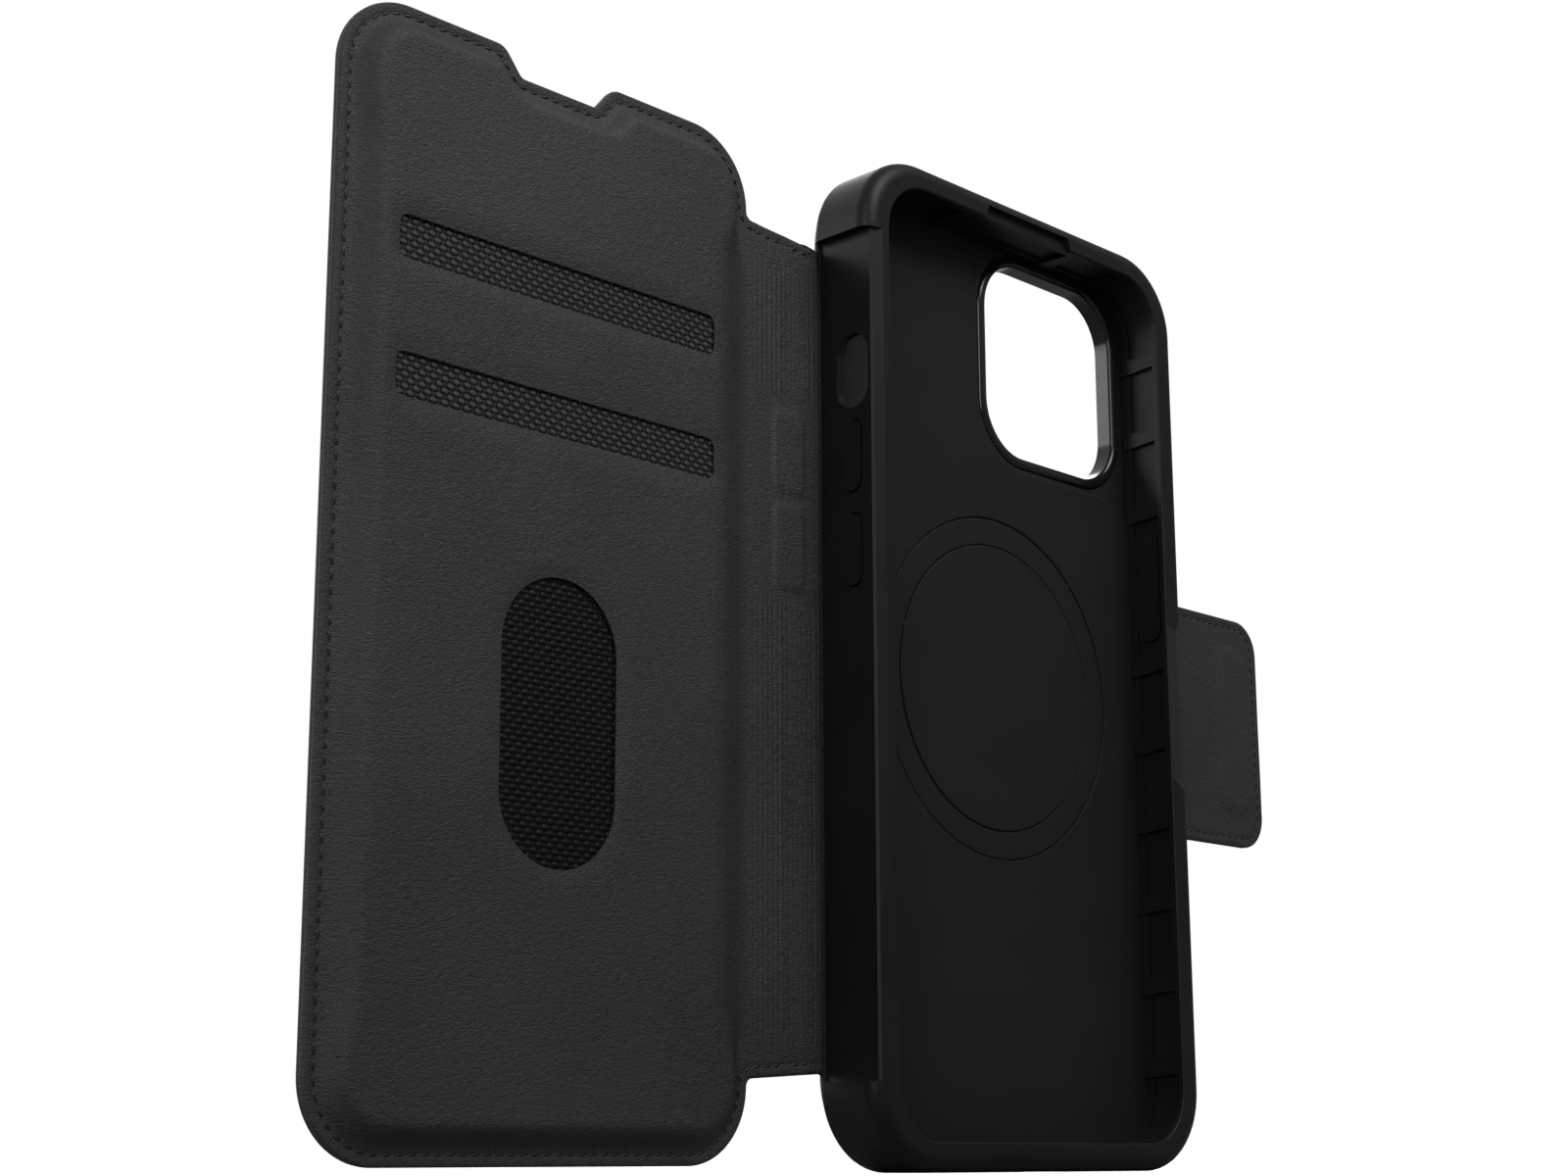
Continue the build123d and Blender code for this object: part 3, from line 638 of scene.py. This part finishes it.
def lining_front(points):
    edge = edge_distance(points, lining_shape)
    open_end = points[:, 0] > spine_x - 3
    edge = np.where(open_end, np.minimum(np.abs(points[:, 1] - spine_low.z - spine_taper),
                                         np.abs(spine_high.z - spine_taper - points[:, 1])), edge)
    depth = lining_y + roll(edge, 0.4) + groove(edge)
    raised = plateau(points)
    depth = depth - raised * (lining_y - plateau_y)
    depth = depth + roll(-near_windows(points), 0.32)
    depth = depth + 0.05 * raised * waves(points, 17, 3.5) + 0.02 * waves(points, 5, 8.2)
    on_spine = points[:, 0] > cover_high.x - 1
    depth = depth - np.where(on_spine, flutes(points) + key_pads(points), 0)
    return depth


def lining_back(points):
    edge = edge_distance(points, lining_shape)
    return fold_y - plateau(points) * (lining_y - plateau_y + 0.2) - roll(edge, 0.12)


def outer_back(points):
    edge = edge_distance(points, back_shape)
    stitched = (points[:, 0] < spine_x - 1) | (points[:, 0] > latch_x + 1)
    depth = -roll(edge, 0.45) - np.where(stitched, groove(edge), 0)
    return depth + 0.02 * waves(points, 14, 5.5) * smooth(edge / 3) - 0.02 * smooth(edge / 3)


def outer_front(points):
    edge = edge_distance(points, back_shape)
    return fold_y + roll(edge, 0.12)


def latch_front(points):
    edge = edge_distance(points, latch_lining_shape)
    near_shell = points[:, 0] < latch_x + 3
    edge = np.where(near_shell, tip_high.z - np.abs(points[:, 1]), edge)
    depth = lining_y + roll(edge, 0.4) + groove(edge)
    pad = rounded_box(
        ((carrier_low.x + carrier_high.x) / 2, 0),
        carrier_high.x - carrier_low.x + 0.9,
        carrier_high.z - carrier_low.z + 0.9,
        (carrier_high.x - carrier_low.x) / 2 + 0.4,
    )
    around = edge_distance(points, pad)
    depth = depth - 0.36 * smooth((around + 0.5) / 1.1)
    return depth + 0.025 * waves(points, 7, 2.5)


def latch_back(points):
    return fold_y - roll(edge_distance(points, latch_lining_shape), 0.12)


# ---------------------------------------------------------------- leather pieces
def bend_over(piece, joint_name, parent, child):
    """Bakes a piece's transform into its mesh; it does not bend the piece, and its joint, parent and child
    are not used.
    """
    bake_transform(piece)


def fold_rows(centre_x, low, high):
    """Close columns of points where the leather folds, so that the fold turns smoothly."""
    columns = centre_x + np.linspace(-1.4, 1.4, 15)
    rows = np.arange(low + 0.6, high, 0.9)
    return np.stack(np.meshgrid(columns, rows), -1).reshape(-1, 2)


def flute_rows():
    """Close straight columns of points over the spine and both of its folds."""
    columns = np.arange(cover_fold_x - 1.4, spine_x + 1.25, flute_pitch / 6)
    rows = np.arange(spine_low.z + 0.5, spine_high.z, 1.1)
    return np.stack(np.meshgrid(columns, rows), -1).reshape(-1, 2)


def make_cover():
    outline = rounded_path(with_spine(middle_spine_x))
    lining = sheet("cover_lining_leather", outline, [lining_shape, cover_shape], lining_front, lining_back,
                   soft_leather, holes=windows, extra=flute_rows())
    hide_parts("cover_lining")
    bend_over(lining, "cover_fold", "spine", "cover")
    leather_back = sheet("cover_outer_leather", outline, [back_shape], outer_front, outer_back,
                         outer_leather, extra=fold_rows(cover_fold_x, spine_low.z, spine_high.z), grid=2.4)
    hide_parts("cover_outer")
    bend_over(leather_back, "cover_fold", "spine", "cover")


def make_spine():
    end = spine_x - 0.15
    outline = rounded_path([*spine_join(middle_spine_x, 0)[:1], *spine_join(end, 0),
                            *spine_join(middle_spine_x, 0)[1:]])
    lining = sheet("spine_lining_leather", outline, [lining_shape], lining_front, lining_back,
                   soft_leather, extra=flute_rows())
    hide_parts("spine_lining")
    bend_over(lining, "spine_fold", "shell", "spine")


def make_back_panel():
    camera = rounded_box(
        ((bezel_low.x + bezel_high.x) / 2, (bezel_low.z + bezel_high.z) / 2),
        bezel_high.x - bezel_low.x + 0.1,
        bezel_high.z - bezel_low.z + 0.1,
        10.9,
    )
    outline = rounded_path([
        (middle_spine_x, spine_edge(middle_spine_x, False), 0),
        (-panel_side, spine_edge(-panel_side, False), inner_corner / 2),
        (-panel_side, panel_low.z, panel_corner),
        (panel_side, panel_low.z, panel_corner),
        (panel_side, tip_low.z, inner_corner / 2),
        (strap_cut_x, tip_low.z, 0),
        (strap_cut_x, tip_high.z, 0),
        (panel_side, tip_high.z, inner_corner / 2),
        (panel_side, panel_high.z, panel_corner),
        (-panel_side, panel_high.z, panel_corner),
        (-panel_side, spine_edge(-panel_side, True), inner_corner / 2),
        (middle_spine_x, spine_edge(middle_spine_x, True), 0),
    ])
    panel = sheet("back_panel_leather", outline, [back_shape], outer_front, outer_back, outer_leather,
                  holes=[camera], extra=fold_rows(spine_x, spine_low.z, spine_high.z), grid=2.4)
    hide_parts("back_panel", "spine_outer")
    bend_over(panel, "spine_fold", "shell", "spine")


def strap_outline(first_x, last_x):
    return rounded_path([
        (first_x, tip_low.z, 0),
        (last_x, tip_low.z, 0),
        (last_x, tip_high.z, 0),
        (first_x, tip_high.z, 0),
    ])


def make_latch():
    side = strap_outline(strap_cut_x, middle_latch_x)
    tip = rounded_path(latch_corners(middle_latch_x))
    tip_fold = fold_rows(tip_x, tip_low.z, tip_high.z)
    side_fold = fold_rows(latch_x + 0.4, tip_low.z, tip_high.z)
    shell_to_side = ("latch_fold", "shell", "latch_side")
    side_to_tip = ("latch_tip_fold", "latch_side", "latch_tip")
    pieces = [
        ("latch_side_outer_leather", side, side_fold, outer_front, outer_back, outer_leather,
         "latch_side_outer", "black_leather", shell_to_side),
        ("latch_tip_outer_leather", tip, tip_fold, outer_front, outer_back, outer_leather,
         "latch_tip_outer", "black_leather", side_to_tip),
        ("latch_side_lining_leather", side, side_fold, latch_front, latch_back, soft_leather,
         "latch_side_lining", "lining_leather", shell_to_side),
        ("latch_tip_lining_leather", tip, tip_fold, latch_front, latch_back, soft_leather,
         "latch_tip_lining", "lining_leather", side_to_tip),
    ]
    for name, outline, extra, front, back, looks, cad_node, slot, joint in pieces:
        shape = back_shape if front is outer_front else latch_lining_shape
        strap = sheet(name, outline, [shape], front, back, looks, grid=1.0, extra=extra)
        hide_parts(cad_node)
        bend_over(strap, *joint)


# ---------------------------------------------------------------- stitches
def stitch_mesh(starts, ends, depth_at, side):
    """One short twisted bead of thread from each start to its end, lying in the groove."""
    rings, around = 7, 8
    vertices, faces = [], []
    for start, end in zip(starts, ends):
        along = end - start
        length = np.linalg.norm(along)
        along = along / length
        tilt = 0.13 * side
        along = np.array((along[0] - tilt * along[1], along[1] + tilt * along[0]))
        across = np.array((-along[1], along[0]))
        middle = (start + end) / 2
        surface = float(depth_at(middle[None])[0])
        base = len(vertices)
        for ring in range(rings):
            t = ring / (rings - 1)
            radius = thread_radius * math.sqrt(max(0.03, 1 - (2 * t - 1) ** 4))
            lift = 0.12 * math.sin(math.pi * t) - 0.06
            for k in range(around):
                a = 2 * math.pi * k / around
                flat = middle + along * length * (t - 0.5) + across * radius * 1.1 * math.cos(a)
                depth = surface - side * (lift + radius * 0.8 * math.sin(a))
                vertices.append((flat[0], depth, flat[1]))
        for ring in range(rings - 1):
            for k in range(around):
                a = base + ring * around + k
                b = base + ring * around + (k + 1) % around
                faces.append([a, a + around, b + around, b] if side > 0 else [a, b, b + around, a + around])
        first = [base + k for k in range(around)]
        last = [base + (rings - 1) * around + k for k in range(around)]
        faces.append(first if side > 0 else first[::-1])
        faces.append(last[::-1] if side > 0 else last)
    return vertices, faces


def stitch_path(shape, keep):
    """Evenly spaced stitch ends along the stitching line of a shape."""
    line = offset_path(shape, stitch_inset)
    line = np.concatenate([line, line[:1]])
    steps = np.linalg.norm(np.diff(line, axis=0), axis=1)
    travel = np.concatenate([[0], np.cumsum(steps)])
    count = round(travel[-1] / stitch_pitch)
    pitch = travel[-1] / count
    starts = np.arange(count) * pitch
    ends = starts + pitch * stitch_length / stitch_pitch

    def at(distances):
        return np.stack([np.interp(distances, travel, line[:, k]) for k in (0, 1)], 1)

    first, last = at(starts), at(ends)
    kept = keep(first) & keep(last)
    return first[kept], last[kept]


def make_stitches(name, shape, keep, front, back, joint, cad_node):
    starts, ends = stitch_path(shape, keep)
    front_vertices, front_faces = stitch_mesh(starts, ends, front, 1)
    back_vertices, back_faces = stitch_mesh(starts, ends, back, -1)
    shift = len(front_vertices)
    faces = front_faces + [[v + shift for v in face] for face in back_faces]
    seam = new_object(name, front_vertices + back_vertices, faces, seam_thread, 80)
    if cad_node:
        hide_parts(cad_node)
    bend_over(seam, *joint)


def near_spine_ends(points):
    """True near the spine's top and bottom edges, where its seam runs."""
    half_spine = (spine_high.z - spine_low.z) / 2
    return np.abs(points[:, 1] - spine_low.z - half_spine) > half_spine - 4


def make_all_stitches():
    make_stitches("cover_seam_stitches", lining_shape, lambda p: p[:, 0] < middle_spine_x, lining_front,
                  outer_back, ("cover_fold", "spine", "cover"), "cover_stitching")
    make_stitches("spine_seam_stitches", lining_shape,
                  lambda p: between(p, middle_spine_x, spine_x - 0.8) & near_spine_ends(p),
                  lining_front, outer_back, ("spine_fold", "shell", "spine"), "spine_stitching")
    make_stitches("latch_side_seam_stitches", latch_lining_shape,
                  lambda p: between(p, latch_x + 0.6, middle_latch_x) & (abs(p[:, 1]) > tip_high.z - 3),
                  latch_front, outer_back, ("latch_fold", "shell", "latch_side"), "latch_side_stitching")
    make_stitches("latch_tip_seam_stitches", latch_lining_shape, lambda p: p[:, 0] > middle_latch_x,
                  latch_front, outer_back, ("latch_tip_fold", "latch_side", "latch_tip"),
                  "latch_tip_stitching")


# ---------------------------------------------------------------- woven mesh
weave_x = 0.92
weave_z = 0.8


def weave_height(x, z):
    """Plain weave: each thread passes over and under the ones that cross it."""
    column = np.round(x / weave_x)
    row = np.round(z / weave_z)
    over = smooth((np.cos(math.pi * (x / weave_x - row)) + 0.55) / 1.0)
    weft = 0.16 * over + 0.12 * np.sqrt(np.clip(1 - ((z / weave_z - row) / 0.36) ** 2, 0, 1))
    under = np.cos(math.pi * (z / weave_z - column + 1)) * 0.5 + 0.5
    warp = 0.10 * under + 0.12 * np.sqrt(np.clip(1 - ((x / weave_x - column) / 0.30) ** 2, 0, 1))
    return np.maximum(weft, warp * 0.9)


def weave_patch(low, high, depth):
    """Closed woven patch between two corners, its threads standing in front of a depth."""
    xs = np.arange(low[0], high[0], weave_x / 6)
    zs = np.arange(low[1], high[1], weave_z / 6)
    gx, gz = np.meshgrid(xs, zs)
    front_y = depth - weave_height(gx - low[0], gz - low[1])
    rows, columns = gx.shape
    front = np.stack([gx, front_y, gz], -1).reshape(-1, 3)
    back = np.stack([gx, np.full_like(gx, depth + 0.03), gz], -1).reshape(-1, 3)
    number = np.arange(rows * columns).reshape(rows, columns)
    corners = [number[:-1, :-1], number[:-1, 1:], number[1:, 1:], number[1:, :-1]]
    quads = np.stack(corners, -1).reshape(-1, 4)
    # height above the cloth's base, kept for the painted highlight on the thread tops and the painted shade
    # in the gaps
    rise = (depth - front[:, 1]) / 0.28
    count = rows * columns
    border = np.concatenate([number[0, :-1], number[:-1, -1], number[-1, :0:-1], number[:0:-1, 0]])
    after = np.roll(border, -1)
    sides = np.stack([after, border, border + count, after + count], 1)
    faces = np.concatenate([quads, quads[:, ::-1] + count, sides])
    return np.concatenate([front, back]), faces, np.concatenate([rise, 0 * rise])


def make_mesh_cloth(name, cad_node, patches):
    vertices, faces, painted_thread_light, start = [], [], [], 0
    for low, high, depth, shade in patches:
        points, quads, rise = weave_patch(low, high, depth)
        vertices.append(points)
        # each patch's painted thread light is scaled by its painted shade factor
        painted_thread_light.append(rise * shade)
        faces += (quads + start).tolist()
        start += len(points)
    cloth = new_object(name, np.concatenate(vertices), faces, mesh_yarn, 180)
    # the 'rise' attribute holds the painted thread light that the yarn's colour follows
    cloth.data.attributes.new("rise", "FLOAT", "POINT").data.foreach_set("value", np.concatenate(painted_thread_light))
    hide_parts(cad_node)
    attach(cloth, "cover")


def make_pockets():
    width, height, _ = window_size
    margin = 0.9
    cloth_y = plateau_y + 0.9                 # the cloth lies against the back of the skin
    half = (width / 2 + margin, height / 2 + margin)
    upper = np.array(upper_window)
    lower = np.array(lower_window)
    thumb = np.array((cover_x, thumb_z))
    thumb_half = (thumb_size[0] / 2 + margin, thumb_size[1] / 2 + margin)
    make_mesh_cloth("upper_pocket_cloth", "upper_pocket_mesh", [(upper - half, upper + half, cloth_y, 1.0)])
    make_mesh_cloth("lower_pocket_cloth", "lower_pocket_mesh", [
        (lower - half, lower + half, cloth_y, 1.0),
        # painted shade: the thumb patch's painted thread light is dimmed to 0.55
        (thumb - thumb_half, thumb + thumb_half, cloth_y, 0.55),
    ])


# ---------------------------------------------------------------- liner
ring_centre = ((ring_low.x + ring_high.x) / 2, (ring_low.z + ring_high.z) / 2)
ring_outer = (ring_high.x - ring_low.x) / 2
ring_inner = ring_outer - 4.5
liner_margin = 0.6


def ring_lines(points):
    """1 on the two circles grooved into the liner over the edges of the magnet ring; also the mask of
    painted shade on the liner's colour.
    """
    radius = np.hypot(points[:, 0] - ring_centre[0], points[:, 1] - ring_centre[1])
    return dent(radius - ring_outer, 0.11) + dent(radius - ring_inner, 0.11)


def liner_front(points):
    radius = np.hypot(points[:, 0] - ring_centre[0], points[:, 1] - ring_centre[1])
    dish = smooth((radius - ring_inner + 0.2) / 0.4) * smooth((ring_outer + 0.2 - radius) / 0.4)
    edge = edge_distance(points, liner_shape)
    return liner_low.y + 0.10 * dish + 0.18 * ring_lines(points) + roll(edge, 0.3)


def liner_back(points):
    return np.full(len(points), liner_high.y)


bezel_left = bezel_low.x - liner_margin
bezel_floor = bezel_low.z - liner_margin
flare = 3.0
liner_shape = rounded_path([
    (liner_low.x, liner_low.z, 10),
    (liner_high.x, liner_low.z, 10),
    (liner_high.x, bezel_floor - flare, 0.4),
    (bezel_high.x + liner_margin - 4.5, bezel_floor, 0.4),
    (bezel_left, bezel_floor, 11.5),
    (bezel_left, bezel_high.z + liner_margin - 4.5, 0.4),
    (bezel_left - flare, liner_high.z, 0.4),
    (liner_low.x, liner_high.z, 10),
])


def make_liner():
    gaps = (-0.4, -0.22, -0.14, -0.07, 0, 0.07, 0.14, 0.22, 0.4)
    radii = [ring + gap for ring in (ring_inner, ring_outer) for gap in gaps]
    circles = np.concatenate([circle_path(ring_centre, radius, 260) for radius in radii])
    liner = sheet("phone_liner_cloth", liner_shape, [liner_shape], liner_front, liner_back, liner_cloth,
                  grid=2.2, insets=(0.06, 0.15, 0.3, 0.8), extra=circles, clear_field=False)
    places = np.empty(len(liner.data.vertices) * 3)
    liner.data.vertices.foreach_get("co", places)
    # mask for the painted shade along the two ring lines
    painted_line_shade = ring_lines(places.reshape(-1, 3)[:, ::2] / MM)
    liner.data.attributes.new("painted_line_shade", "FLOAT", "POINT").data.foreach_set("value", painted_line_shade)
    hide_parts("phone_liner")
    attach(liner, "shell")


# ---------------------------------------------------------------- CAD pieces that stay
def dress(cad_node, looks):
    mesh = frame["nodes"][cad_node].data
    mesh.materials.clear()
    mesh.materials.append(looks)


make_cover()
make_spine()
make_back_panel()
make_latch()
make_all_stitches()
make_pockets()
make_liner()
for cad_node, looks in (
    ("bumper_frame", shell_rubber),
    ("back_plate", plate_plastic),
    ("camera_bezel", gloss_bead),
    ("power_key", key_rubber),
    ("volume_up_key", key_rubber),
    ("volume_down_key", key_rubber),
    ("spine_key_pads", plate_plastic),
    ("latch_magnet_carrier", plate_plastic),
    ("ring_magnets", magnet_metal),
    ("cover_catch_magnets", magnet_metal),
    ("latch_magnets", magnet_metal),
    ("ring_magnet_film", film_plastic),
    ("cover_board", fibre_board),
):
    dress(cad_node, looks)


# ---------------------------------------------------------------- studio
def make_floor():
    """Wide flat pale floor at the object's lowest point, reaching 3 m out each way."""
    low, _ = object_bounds()
    reach = 3.0
    vertices = [(-reach, -reach, 0), (reach, -reach, 0), (reach, reach, 0), (-reach, reach, 0)]
    mesh = bpy.data.meshes.new("floor")
    mesh.from_pydata([(x, y, low.z) for x, y, _ in vertices], [], [[0, 1, 2, 3]])
    made, tree, surface, place = material("pale_floor")
    dust = node(tree, "ShaderNodeTexNoise", {"Vector": place}, Scale=9.0, Detail=3.0)
    tree.links.new(ramp(tree, dust.outputs["Fac"], 0.2, 0.8, (0.9, 0.9, 0.9), (0.94, 0.94, 0.94)),
                   surface.inputs["Base Color"])
    surface.inputs["Roughness"].default_value = 1.0
    surface.inputs["Specular IOR Level"].default_value = 0.0
    surface.inputs["Emission Color"].default_value = (1, 1, 1, 1)
    surface.inputs["Emission Strength"].default_value = 0.7
    # seen directly the floor is pale, but it throws hardly any light back up
    dark = node(tree, "ShaderNodeBsdfDiffuse", Color=(0.2, 0.2, 0.2, 1))
    seen = node(tree, "ShaderNodeLightPath").outputs["Is Camera Ray"]
    mix = node(tree, "ShaderNodeMixShader", {"Fac": seen})
    tree.links.new(dark.outputs["BSDF"], mix.inputs[1])
    tree.links.new(surface.outputs["BSDF"], mix.inputs[2])
    tree.links.new(mix.outputs["Shader"], tree.nodes["Material Output"].inputs["Surface"])
    mesh.materials.append(made)
    floor = bpy.data.objects.new("floor", mesh)
    bpy.context.scene.collection.objects.link(floor)


def make_world():
    """White backdrop for the camera; its light comes from behind and above, little from the front."""
    world = bpy.data.worlds.new("studio")
    bpy.context.scene.world = world
    world.use_nodes = True
    tree = world.node_tree
    tree.nodes.clear()
    direction = node(tree, "ShaderNodeTexCoord").outputs["Generated"]
    parts = node(tree, "ShaderNodeSeparateXYZ", {"Vector": direction}).outputs
    lift = math_node(tree, "ADD", math_node(tree, "MULTIPLY", parts["Z"], 0.5), 0.5)
    sky = ramp(tree, lift, 0.25, 0.85, (0.08, 0.08, 0.08), (0.26, 0.26, 0.26))
    behind = ramp(tree, parts["Y"], 0.25, 0.75, (0, 0, 0), (0.6, 0.6, 0.6))
    both = node(tree, "ShaderNodeMixRGB", {"Color1": sky, "Color2": behind}, blend_type="ADD", Fac=1.0)
    light = node(tree, "ShaderNodeBackground", {"Color": both.outputs["Color"]}, Strength=1.0)
    white = node(tree, "ShaderNodeBackground", Color=(1, 1, 1, 1), Strength=1.0)
    seen = node(tree, "ShaderNodeLightPath").outputs["Is Camera Ray"]
    mix = node(tree, "ShaderNodeMixShader", {"Fac": seen})
    tree.links.new(light.outputs["Background"], mix.inputs[1])
    tree.links.new(white.outputs["Background"], mix.inputs[2])
    output = node(tree, "ShaderNodeOutputWorld")
    tree.links.new(mix.outputs["Shader"], output.inputs["Surface"])


def area_light(name, place, target, size, power):
    data = bpy.data.lights.new(name, "AREA")
    data.shape = "RECTANGLE"
    data.size, data.size_y = size
    data.energy = power
    lamp = bpy.data.objects.new(name, data)
    bpy.context.scene.collection.objects.link(lamp)
    lamp.location = place
    lamp.rotation_mode = "QUATERNION"
    lamp.rotation_quaternion = (Vector(target) - Vector(place)).to_track_quat("-Z", "Y")
    lamp.visible_camera = False


def make_camera():
    """Low camera in front of the cover's left edge, looking up across the open folio."""
    data = bpy.data.cameras.new("camera")
    data.sensor_width = 36
    data.lens = 54.64
    data.shift_y = 0.0417
    data.clip_start = 0.01
    data.clip_end = 100
    camera = bpy.data.objects.new("camera", data)
    bpy.context.scene.collection.objects.link(camera)
    yaw, pitch, lean = (math.radians(a) for a in (45.18, 12.02, -0.19))
    forward = Vector((math.sin(yaw) * math.cos(pitch), math.cos(yaw) * math.cos(pitch), math.sin(pitch)))
    right = Vector((math.cos(yaw), -math.sin(yaw), 0))
    up = right.cross(forward)
    right, up = (right * math.cos(lean) + up * math.sin(lean), up * math.cos(lean) - right * math.sin(lean))
    turn = Matrix((right, up, -forward)).transposed()
    camera.matrix_world = Matrix.Translation(Vector((-291.9, -244.8, -76.1)) * MM) @ turn.to_4x4()
    bpy.context.scene.camera = camera


make_floor()
make_world()
area_light("key", (0.0, -0.33, 0.42), (-0.03, 0, 0.02), (0.3, 0.3), 1.32)
area_light("side", (-0.9, -0.5, 0.3), (0.0, 0, 0.02), (0.25, 0.7), 2.8)
area_light("rear_left", (-0.7, 0.7, 0.3), (0.0, 0, 0.02), (0.4, 0.5), 1.5)
area_light("rear", (0.5, 0.8, 0.6), (0.0, 0, 0), (0.7, 0.5), 5.0)
make_camera()
bpy.context.scene.view_settings.view_transform = "Standard"
